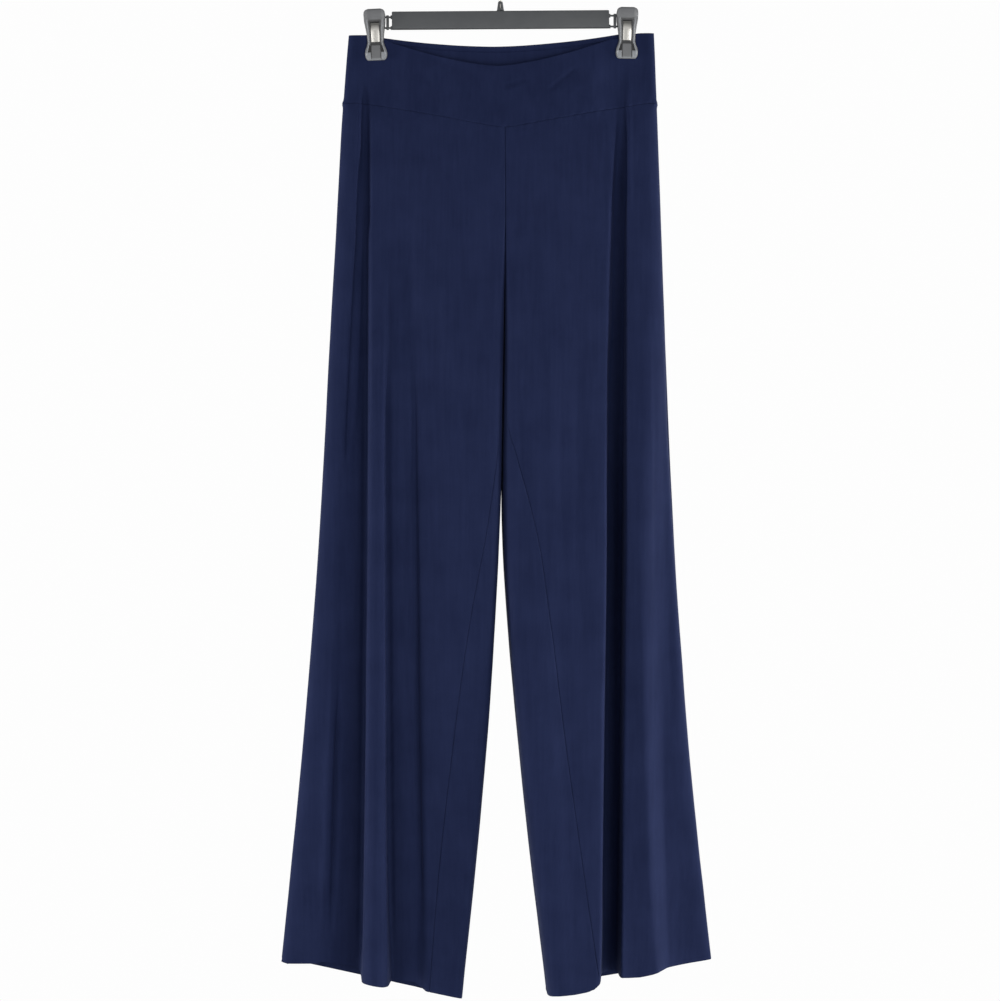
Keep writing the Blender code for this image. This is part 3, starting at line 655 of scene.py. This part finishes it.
jaw = {
    # height, half width, inner face and outer face
    "rows": (
        (-68.5, 8, 6, 7.6), (-69.5, 10.2, 5.9, 8.6), (-71.3, 11.5, 5.7, 8.9), (-74.5, 12, 5.3, 8.8),
        (-82.5, 11.6, 4.3, 7.6), (-89, 10.5, 3.8, 6.8), (-97, 9.3, 3.4, 6.2), (-105, 8.9, 2.95, 5.8),
        (-109, 9.9, 2.85, 5.8), (-113.3, 11.5, 2.85, 6), (-117.8, 12.3, 2.85, 6), (-122.2, 11.7, 2.85, 5.9),
        (-124.2, 10.2, 2.85, 5.4), (-125, 8.8, 2.85, 4.6),
    ),
    "step": 0.5,
    "sideColumns": 20,
    "windowColumns": 24,
    "windowHalf": 5.0,
    "windowTop": -82.5,
    "windowBottom": -105,
    "ribDown": (76, 82, 90, 105, 110, 117, 121),
    "ribAcross": (9.4, 8.8, 7.7, 7.3, 8.3, 10.4, 10.9),
    "ribHalf": 0.6,
    "grooveHalf": 0.42,
    "rimHalf": 0.7,
    "sideRound": 1.4,
    "tabHalf": 5.2,
    # where each form begins below the hook, how long it takes to rise, where it ends and how long it
    # takes to fade
    "ribSpan": (77, 6, 121, 3),
    "frameSpan": (79, 3, 109.2, 2.4),
    "grooveSpan": (107, 2, 124.6, 1.2),
    "pocketSpan": (107.5, 2, 116.2, 1),
    "padSpan": (116, 1, 123.8, 1),
    # how far each form stands out, and how strongly light is painted on it: a painted highlight above 0,
    # painted shade below 0
    "lift": {"rib": 0.6, "frame": -1.5, "chamfer": -1.3, "groove": -0.6, "pocket": -1.5, "pad": 0.3},
    "mottleAndPaintedLight": {"rib": 0.7, "pad": 1, "rim": 0.8, "outline": -0.6, "frame": -0.8, "pocket": -1, "groove": -1},
}


def between(value, start, rise, stop, fall):
    return ease((value - start) / rise) * ease((stop - value) / fall)


def jawForm(x, z, half):
    # how far the outer face stands out from its smooth form, and where highlights and shade are painted on
    # it.
    # off is the distance from the jaw's middle line and down the distance below the hook: ribs frame a
    # window under a chamfered head, and below it pockets and pads lie either side of a grooved tab
    off, down = abs(x), -z
    rib = np.interp(down, jaw["ribDown"], jaw["ribAcross"])
    forms = {
        "rib": np.exp(-(((off - rib) / jaw["ribHalf"]) ** 2)) * between(down, *jaw["ribSpan"]),
        "frame": ease((rib - 0.4 - off) / 1.8) * between(down, *jaw["frameSpan"]),
        "chamfer": ease((off - 7) / (half - 7)) * (1 - ease((down - 78) / 6)),
        "groove": np.exp(-(((off - jaw["tabHalf"]) / jaw["grooveHalf"]) ** 2))
        * between(down, *jaw["grooveSpan"]),
        "pocket": between(off, 5.5, 0.8, rib - 0.5, 0.8) * between(down, *jaw["pocketSpan"]),
        "pad": between(off, 5.8, 0.8, half - 0.8, 1) * between(down, *jaw["padSpan"]),
        "rim": np.exp(-(((down - 124) / jaw["rimHalf"]) ** 2)),
        "outline": (1 - ease((half - off) / 1.6)) * (1 - ease((down - 108) / 4))
        + (1 - ease((down - 68.5) / 1.8)),
    }
    turned = np.clip(jaw["sideRound"] - (half - off), 0, jaw["sideRound"])
    rounding = jaw["sideRound"] - np.sqrt(jaw["sideRound"] ** 2 - turned**2)
    lift, paintedHighlightAndShade = (sum(share * forms[k] for k, share in jaw[use].items()) for use in ("lift", "mottleAndPaintedLight"))
    return lift - rounding, np.clip(paintedHighlightAndShade, -1, 1)


def clipJaw(name, node, face, turn):
    heights = np.arange(jaw["rows"][0][0], jaw["rows"][-1][0] - 0.01, -jaw["step"])
    levels, halves, inners, outers = zip(*jaw["rows"])
    side, middle = jaw["sideColumns"], jaw["windowColumns"]
    beside = np.linspace(0, 1, side + 1)[1:]
    within = np.linspace(-jaw["windowHalf"], jaw["windowHalf"], middle + 1)
    downTo = [-v for v in levels]
    half = np.interp(-heights, downTo, halves)[:, None]
    reach = half - jaw["windowHalf"]
    x = np.hstack((-jaw["windowHalf"] - reach * beside[::-1], np.tile(within, (len(heights), 1)),
                   jaw["windowHalf"] + reach * beside))
    z = np.repeat(heights[:, None], x.shape[1], axis=1)
    inner, outer = (np.interp(-z, downTo, values) for values in (inners, outers))
    lift, paintedHighlightAndShade = jawForm(x, z, half)
    bm, spot = newSheet(x.shape)
    # the painted highlights and painted shade go to the material in this layer
    paintedLight = bm.verts.layers.float.new("paintedHighlightAndShade")
    for v in bm.verts:
        v[paintedLight] = paintedHighlightAndShade.flat[v[spot]]
    window = []
    for f in bm.faces:
        spots = [v[spot] for v in f.verts]
        across, height = x.flat[spots].mean(), z.flat[spots].mean()
        if abs(across) < jaw["windowHalf"] and jaw["windowBottom"] < height < jaw["windowTop"]:
            window.append(f)
    bmesh.ops.delete(bm, geom=window, context="FACES")
    raised = doubled(bm)
    for v in bm.verts:
        depth = (outer + lift if v in raised else inner).flat[v[spot]]
        v.co = (x.flat[v[spot]], face * depth, z.flat[v[spot]] - grip["z"])
    return settled(bm, name, clipPlastic, [node], turn, 50)


leaf = {
    "half": 4.6,
    "wall": 0.6,
    "edge": 0.15,
    # its line from the foot of one leg to the top of the bend, as distance from the middle and height
    "line": ((3.0, -104.5), (4.0, -98.5), (4.95, -93), (4.7, -89), (3.7, -85.6), (2.0, -83.2), (0, -82.8)),
}


def clipSpring(name, node, turn):
    # a bent steel strip over the barrel, with a leg in the window of each jaw
    frontLeg = spline([(-y, z) for y, z in leaf["line"]], 6)
    line = np.concatenate((frontLeg, frontLeg[-2::-1] * (-1, 1)))
    along = np.gradient(line, axis=0)
    along /= np.linalg.norm(along, axis=1, keepdims=True)
    facing = np.column_stack((-along[:, 1], along[:, 0]))
    bm = bmesh.new()
    edges = []
    for side in (-1, 1):
        skin = line + facing * side * leaf["wall"] / 2
        verts = [bm.verts.new((-leaf["half"], y, z - grip["z"])) for y, z in skin]
        edges += [bm.edges.new(pair) for pair in zip(verts, verts[1:])]
    bmesh.ops.bridge_loops(bm, edges=edges)
    bmesh.ops.translate(bm, verts=[*doubled(bm)], vec=(2 * leaf["half"], 0, 0))
    rims = [e for e in bm.edges if len(e.link_faces) == 2 and e.calc_face_angle(0) > 1.2]
    rounded(bm, rims, leaf["edge"], 2)
    return settled(bm, name, steel, [node], turn)


for end, clip in clips.items():
    lean = Matrix.Rotation(math.radians(clip["lean"]), 4, "Y")
    turn = hanging @ Matrix.Translation((clip["x"], 0, grip["z"])) @ lean
    for side, face in (("front", -1), ("back", 1)):
        clipJaw(f"{end}Clip{side.capitalize()}", f"clip_{end}_{side}", face, turn)
    clipSpring(f"{end}ClipSpring", f"clip_{end}_spring", turn)
print("clips made")

waist = {
    "frontTop": 29.3,  # how far the edge dips
    "frontSlip": 6.3,  # all of it, between the clips
    "frontMiddle": -2,  # where it dips furthest
    "topSpan": 125,
    "backTop": 13.5,
    "backMiddle": -6,
    "backSpan": 142,
    "frontSeam": 29.5,
    "frontSeamSpan": 160,
    "tip": 9,  # rounding of the waist seam's point
    "backSeam": 9,
}


def edgeHeights(x, face):
    # heights of the waistband's top edge and of the waist seam
    off = abs(x - hang["centre"])
    if face < 0:
        slip = 1 - ease((off - waist["topSpan"]) / (2 * grip["half"]))
        dip = waist["frontSlip"] * slip
        along = np.clip(abs(x - waist["frontMiddle"]) / waist["topSpan"], 0, 1)
        dip = dip + waist["frontTop"] * (1 - along**1.5)
        along = np.clip(np.hypot(off, waist["tip"]) / waist["frontSeamSpan"], 0, 1)
        seam = waist["frontSeam"] * (1 - along) ** 1.1
    else:
        along = np.clip(abs(x - waist["backMiddle"]) / waist["backSpan"], 0, 1)
        dip = waist["backTop"] * (1 - along**1.7)
        along = np.clip(off / waist["backSpan"], 0, 1)
        seam = waist["backSeam"] * (1 - along**1.5)
    return level["top"] + x * math.tan(math.radians(hangerTilt)) - dip, level["seam"] - seam


def heightOf(leg, points, z, face):
    # the levels bend to the waist seam and to the hem
    x, y = points.T
    top, seam = edgeHeights(x, face)
    if z >= level["seam"]:
        return top + (seam - top) * (level["top"] - z) / (level["top"] - level["seam"])
    nearWaist = (1 - ease((level["seam"] - z) / hang["seamFade"])) * (seam - level["seam"])
    side, inner = leg["sections"][-1][1], leg["sections"][-1][7]
    hem = leg["hemSide"] + (leg["hemInner"] - leg["hemSide"]) * (x - side) / (inner - side)
    nearHem = ((level["fork"] - z) / (level["fork"] - level["hem"])) ** 1.5 if z < level["fork"] else 0.0
    lift = np.interp(x, *zip(*leg["hemLift"])) * ease((level["knee"] - z) / (level["knee"] - level["hem"]))
    if face > 0:  # the back panel comes round on to the front of the leg
        row = sectionAt(leg, z)
        lift = lift * ease(0.5 + ((row["frontInner"] + row["backInner"]) / 2 - y) / 8)
    return z + nearWaist + nearHem * (hem - level["hem"]) + lift


def relief(creases, face, x, z):
    # how far the creases of one face lift or sink the cloth at each of its points
    total = np.zeros_like(x)
    for side, crest, halves, fade, line in creases:
        if side != face:
            continue
        rightHalf, leftHalf = halves if isinstance(halves, tuple) else (halves, halves)
        nearest, along, whole = np.full(x.shape, np.inf), np.zeros_like(x), 0.0
        toLeft = np.zeros(x.shape, bool)
        for (x0, z0), (x1, z1) in zip(line, line[1:]):
            length = math.hypot(x1 - x0, z1 - z0)
            t = np.clip(((x - x0) * (x1 - x0) + (z - z0) * (z1 - z0)) / length**2, 0, 1)
            gap = np.hypot(x - x0 - t * (x1 - x0), z - z0 - t * (z1 - z0))
            toLeft = np.where(gap < nearest, x > x0 + t * (x1 - x0), toLeft)
            along = np.where(gap < nearest, whole + t * length, along)
            nearest = np.minimum(gap, nearest)
            whole += length
        ends = ease(along / fade) * ease((whole - along) / fade)
        total += crest * np.exp(-((nearest / np.where(toLeft, leftHalf, rightHalf)) ** 2)) * ends
    return total


sewing = {
    "turn": 0.8,  # radius at which the cloth turns in at a seam
    "tuck": 2.2,  # how far the allowance goes in after the turn
    "hemDepth": 20,
    "hemStep": 2,  # over which the wall thickens above it
    "legWall": 1.2,
    "hemWall": 1.8,  # the hem is turned up and doubled
    "bandWall": 2.4,
    "seamWall": 0.6,
    "seamTaper": 6,
    "pucker": 0.22,
    "puckerReach": 5,  # above and below the waist seam
    # strength and length over 2 pi of the two kinds of pucker, a little under 11 and 18 mm long
    "puckers": ((1, 1.7), (0.7, 2.9)),
    "slack": 0.35,  # broad unevenness of the cloth
    "slackAcross": 34,
    "slackDown": 120,
    "rimBevel": {"top": 0.42 * 1.6, "bottom": 0.42},
    "nub": 1.2,  # the bulk of the waist seam where it meets the side seam
    "nubReach": 3,  # above and below the waist seam
    "nubFrom": ((96, 174, 200), (168, 172, 175)),  # distances below the hook and from the middle
    "nubFade": 4,
    "elastic": 6,  # stitched line below the top edge, inside
    "elasticDepth": 0.9,
    "elasticHalf": 0.7,
}
seamTurn = hang["seamGap"] / 2 + sewing["turn"]


def places(values, seamAtStart, seamAtEnd):
    # one entry for each row or column of a panel: its value, its shift along, its shift outwards,
    # and how far the cloth has turned towards the edge
    r = sewing["turn"]
    turned = [(r * math.sin(a), r * (math.cos(a) - 1), a) for a in np.linspace(0, math.pi / 2, 5)[1:]]
    turned.append((r, -r - sewing["tuck"], math.pi / 2))
    start = [(values[0], -along, out, -angle) for along, out, angle in reversed(turned)]
    end = [(values[-1], along, out, angle) for along, out, angle in turned]
    flat = [(value, 0.0, 0.0, 0.0) for value in values]
    return np.array((start if seamAtStart else []) + flat + (end if seamAtEnd else []))


def unevenness(x, y, z, seed):
    # broad slackness of the cloth, longer down than across
    lift, across = np.zeros_like(x), sewing["slackAcross"]
    for index in np.ndindex(x.shape):
        spot = Vector((x[index] / across, y[index] / across + seed, z[index] / sewing["slackDown"]))
        lift[index] = noise.noise(spot) + 0.4 * noise.noise(spot * 2.7)
    return lift


def clothPanel(name, lineAt, leg, face, rows, columns, creases, wall, rim, seed):
    # lineAt(z) gives the panel's line at a level and where on it the panel ends. All edges are turned
    # in at seams but the one that rim names, "top" or "bottom"
    turnedIn = (rim == "bottom", rim == "top", True, True)
    rowPlaces = places(rows, turnedIn[0], turnedIn[1])
    share, alongE, outE, turnE = places(np.linspace(0, 1, columns), True, True).T
    known, skin = {}, []
    for z, alongD, outD, turnD in rowPlaces:
        if z not in known:
            line, end = lineAt(z)
            spots = seamTurn + (end - 2 * seamTurn) * share
            points, normals = (
                np.column_stack([np.interp(spots, line[0], line[i][:, k]) for k in (0, 1)]) for i in (1, 2)
            )
            normals /= np.linalg.norm(normals, axis=1, keepdims=True)
            known[z] = points, normals, heightOf(leg, points, z, face), spots
        points, normals, heights, spots = known[z]
        skin.append(
            np.column_stack((points, heights, normals, spots, alongE, np.full(len(share), alongD),
                             outE + outD, turnE, np.full(len(share), turnD)))
        )
    skin = np.array(skin)
    x, y, z, nx, ny, spots, alongE, alongD, out, turnE, turnD = np.moveaxis(skin, 2, 0)
    point = np.stack((x, y, z), axis=2)
    normal = np.stack((nx, ny, nx * 0), axis=2)
    across = np.gradient(point[:, :, :2], axis=1)
    sense = np.sign((ny * across[:, :, 0] - nx * across[:, :, 1]).sum())
    tangent = np.stack((ny * sense, -nx * sense, nx * 0), axis=2)
    down = np.array((0.0, 0.0, -1.0))
    seam = edgeHeights(x, face)[1]
    fromSeam = abs(z - seam)
    lift = relief(creases + underClips, face, x, z) + sewing["slack"] * unevenness(x, y, z, seed)
    ripple = sum(
        share * np.sin(spots / length + k * seed) for k, (share, length) in enumerate(sewing["puckers"], 1)
    )
    lift += sewing["pucker"] * ripple * np.exp(-((fromSeam / sewing["puckerReach"]) ** 2))
    fromSide = abs(x) - np.interp(-z, *sewing["nubFrom"])
    nub = ease((fromSide + sewing["nubFade"]) / sewing["nubFade"])
    lift += sewing["nub"] * np.exp(-((fromSeam / sewing["nubReach"]) ** 2)) * nub
    total = (out + lift)[:, :, None]
    outer = point + tangent * alongE[:, :, None] + down * alongD[:, :, None] + normal * total
    facing = (
        tangent * np.sin(turnE)[:, :, None] + down * np.sin(turnD)[:, :, None]
        + normal * (np.cos(turnE) * np.cos(turnD))[:, :, None]
    )
    facing /= np.linalg.norm(facing, axis=2, keepdims=True)
    # towards a turned edge the wall thins, so that its inner side can follow the turn
    toEdge = np.full(x.shape, np.inf)
    nominal = rowPlaces[:, :1] + 0 * x
    fromEdges = (nominal[0] - nominal, nominal - nominal[-1], spots - spots[:, :1], spots[:, -1:] - spots)
    for turned, away in zip(turnedIn, fromEdges):
        if turned:
            toEdge = np.minimum(toEdge, away)
    thickness = sewing["seamWall"] + (wall(nominal) - sewing["seamWall"]) * ease(toEdge / sewing["seamTaper"])
    inner = outer - facing * thickness[:, :, None]
    uv = np.stack((spots + alongE, z - alongD), axis=2)

    bm, spot = newSheet(x.shape)
    raised = doubled(bm)
    outer, inner, uv = (values.reshape(x.size, -1) * mm for values in (outer, inner, uv))
    for v in bm.verts:
        v.co = (outer if v in raised else inner)[v[spot]]
    cloth = bm.loops.layers.uv.new("cloth")
    for f in bm.faces:
        for loop in f.loops:
            loop[cloth].uv = uv[loop.vert[spot]]
    edge = 0 if rim == "top" else x.shape[0] - 1
    folds = [
        e for e in bm.edges
        if all(v[spot] // x.shape[1] == edge for v in e.verts) and e.verts[0][spot] != e.verts[1][spot]
    ]
    rounded(bm, folds, sewing["rimBevel"][rim] * mm, 3, clamp=True)
    piece = finished(bm, name, jerseyCloth, [name], sharp=80)


def legWall(z):
    step = sewing["hemStep"]
    doubled = ease((level["hem"] + sewing["hemDepth"] + step - z) / step)
    return sewing["legWall"] + (sewing["hemWall"] - sewing["legWall"]) * doubled


def bandWall(z):
    # the elastic is stitched in along a line below the top edge, which shows as a groove inside
    fromLine = (level["top"] - z - sewing["elastic"]) / sewing["elasticHalf"]
    return sewing["bandWall"] - sewing["elasticDepth"] * np.exp(-(fromLine**2))


def legLine(leg, face):
    def at(z):
        share = ease((level["seam"] - z) / (level["seam"] - level["crotch"]))
        gap = hang["seamGap"] + (hang["legGap"] - hang["seamGap"]) * float(share)
        front, back = measuredFaces(leg, z, gap)
        seamAt = front[0][-1]
        if z < level["crotch"]:
            row = sectionAt(leg, z)
            wall = follow(inseam["z"], inseam["wall"], z)
            strip = follow(inseam["z"], inseam[leg["strip"]], z)
            seamAt -= wall * (row["backInner"] - row["frontInner"]) / 2 + strip
        if face < 0:
            return front, seamAt
        return joined(back, front), back[0][-1] + front[0][-1] - seamAt

    return at


def bandLine(face):
    def at(z):
        right, left = (measuredFaces(leg, z, 0.0)[0 if face < 0 else 1] for leg in legs)
        line = joined(right, left)
        return line, line[0][-1]

    return at


def rowsDown(*stops):
    # heights from stop to stop, each given with the number of rows from it to the next
    runs = [np.linspace(high, low, rows, endpoint=False) for (high, rows), (low, _) in zip(stops, stops[1:])]
    return np.concatenate(runs + [stops[-1][:1]])


# closer together at the seams, the elastic and the hem
legTop, bandFoot = level["seam"] - seamTurn, level["seam"] + seamTurn
legRows = rowsDown((legTop, 12), (legTop - 18, 210), (level["hem"] + 24, 11), (level["hem"], 1))
bandRows = rowsDown((level["top"], 22), (level["top"] - 9, 20), (bandFoot + 14, 9), (bandFoot, 1))
bandCreases = (
    (-1, -1.5, 1.8, 14, ((90, -131), (74, -144), (50, -164))),
    (-1, 0.6, 4, 16, ((95, -137), (79, -151), (56, -169))),
    (-1, -1.0, 1.8, 12, ((34, -146), (14, -153), (0, -158))),
    (-1, 0.6, 3, 10, ((32, -151), (16, -157), (2, -163))),
    (-1, -0.9, 6, 30, ((-110, -111), (-22, -144))),
    (-1, 0.8, 6, 20, ((104, -138), (66, -172))),
    (-1, -0.8, 5, 16, ((-96, -132), (-70, -160))),
    (-1, 0.7, 8, 20, ((-40, -128), (10, -146))),
    (1, -1.2, 6, 24, ((-100, -120), (-40, -158))),
    (1, -1.0, 6, 24, ((96, -122), (46, -160))),
)
# each piece as cut: its width and length laid flat, and its area in square metres
cut = {
    "waistband_front": (357, 102, 0.0276),
    "waistband_back": (354, 86, 0.028),
    "leg_front": (245, 960, 0.22),
    "leg_back": (325, 980, 0.267),
}
bandColumns = 250
legColumns = {"front": 150, "back": 120}
seed = 1.0
for side, face in (("front", -1), ("back", 1)):
    band = f"waistband_{side}"
    clothPanel(
        band, bandLine(face), rightLeg, face, bandRows, bandColumns, bandCreases, bandWall, "top",
        seed,
    )
    seed += 1
    for leg in legs:
        clothPanel(
            f"leg_{side}_{leg['strip']}", legLine(leg, face), leg, face, legRows, legColumns[side],
            leg["creases"], legWall, "bottom", seed,
        )
        seed += 1
print("cloth made")

stage = {"floor": -1450, "floorRadius": 1300}
bm = bmesh.new()
bmesh.ops.create_circle(bm, cap_ends=True, radius=stage["floorRadius"] * mm, segments=96)
bmesh.ops.translate(bm, verts=bm.verts[:], vec=(0, 0, stage["floor"] * mm))
floorMesh = bpy.data.meshes.new("floor")
bm.to_mesh(floorMesh)
bm.free()
floorPaint, _, _ = newMaterial("mattWhitePaint", {"Base Color": linear("#E9E9E6"), "Roughness": 0.9})
floorMesh.materials.append(floorPaint)
addObject("floor", floorMesh)

lights = (
    # name, power, width, height, place and what it points at
    ("right front softbox", 28.5, 1400, 2000, (1500, -2200, -900), (0, 0, -950)),
    ("left front softbox", 17, 1400, 2000, (-1500, -2200, -900), (0, 0, -950)),
    ("front top softbox", 2.4, 2000, 900, (-300, -2400, 700), (0, 0, -500)),
    ("right strip", 54, 700, 2400, (2400, -250, -800), (0, 0, -800)),
    ("left strip", 46, 700, 2400, (-2400, -250, -800), (0, 0, -800)),
    ("right back softbox", 34, 1000, 2000, (2400, 1700, -600), (0, 0, -700)),
    ("left back softbox", 13, 1200, 2000, (-1900, 2100, -600), (0, 0, -700)),
)
for name, power, width, heightOfLight, spot, aim in lights:
    data = bpy.data.lights.new(name, "AREA")
    data.shape = "RECTANGLE"
    data.size, data.size_y, data.energy = width * mm, heightOfLight * mm, power
    lamp = addObject(name, data)
    lamp.location = Vector(spot) * mm
    lamp.rotation_euler = (Vector(aim) - Vector(spot)).to_track_quat("-Z", "Y").to_euler()

world = bpy.data.worlds.new("studio")
bpy.context.scene.world = world
world.use_nodes = True
sky = world.node_tree
sky.nodes.clear()
seen = addNode(sky, "Background", {"Color": (1, 1, 1, 1), "Strength": 0.985})
lit = addNode(sky, "Background", {"Color": (0.97, 0.985, 1, 1), "Strength": 0.22})
rays = addNode(sky, "LightPath", {})
both = addNode(
    sky, "MixShader", {}, (0, rays.outputs["Is Camera Ray"]), (1, lit.outputs[0]), (2, seen.outputs[0])
)
addNode(sky, "OutputWorld", {}, ("Surface", both.outputs[0]))
bpy.context.scene.view_settings.view_transform = "Standard"
print("stage and lights placed")
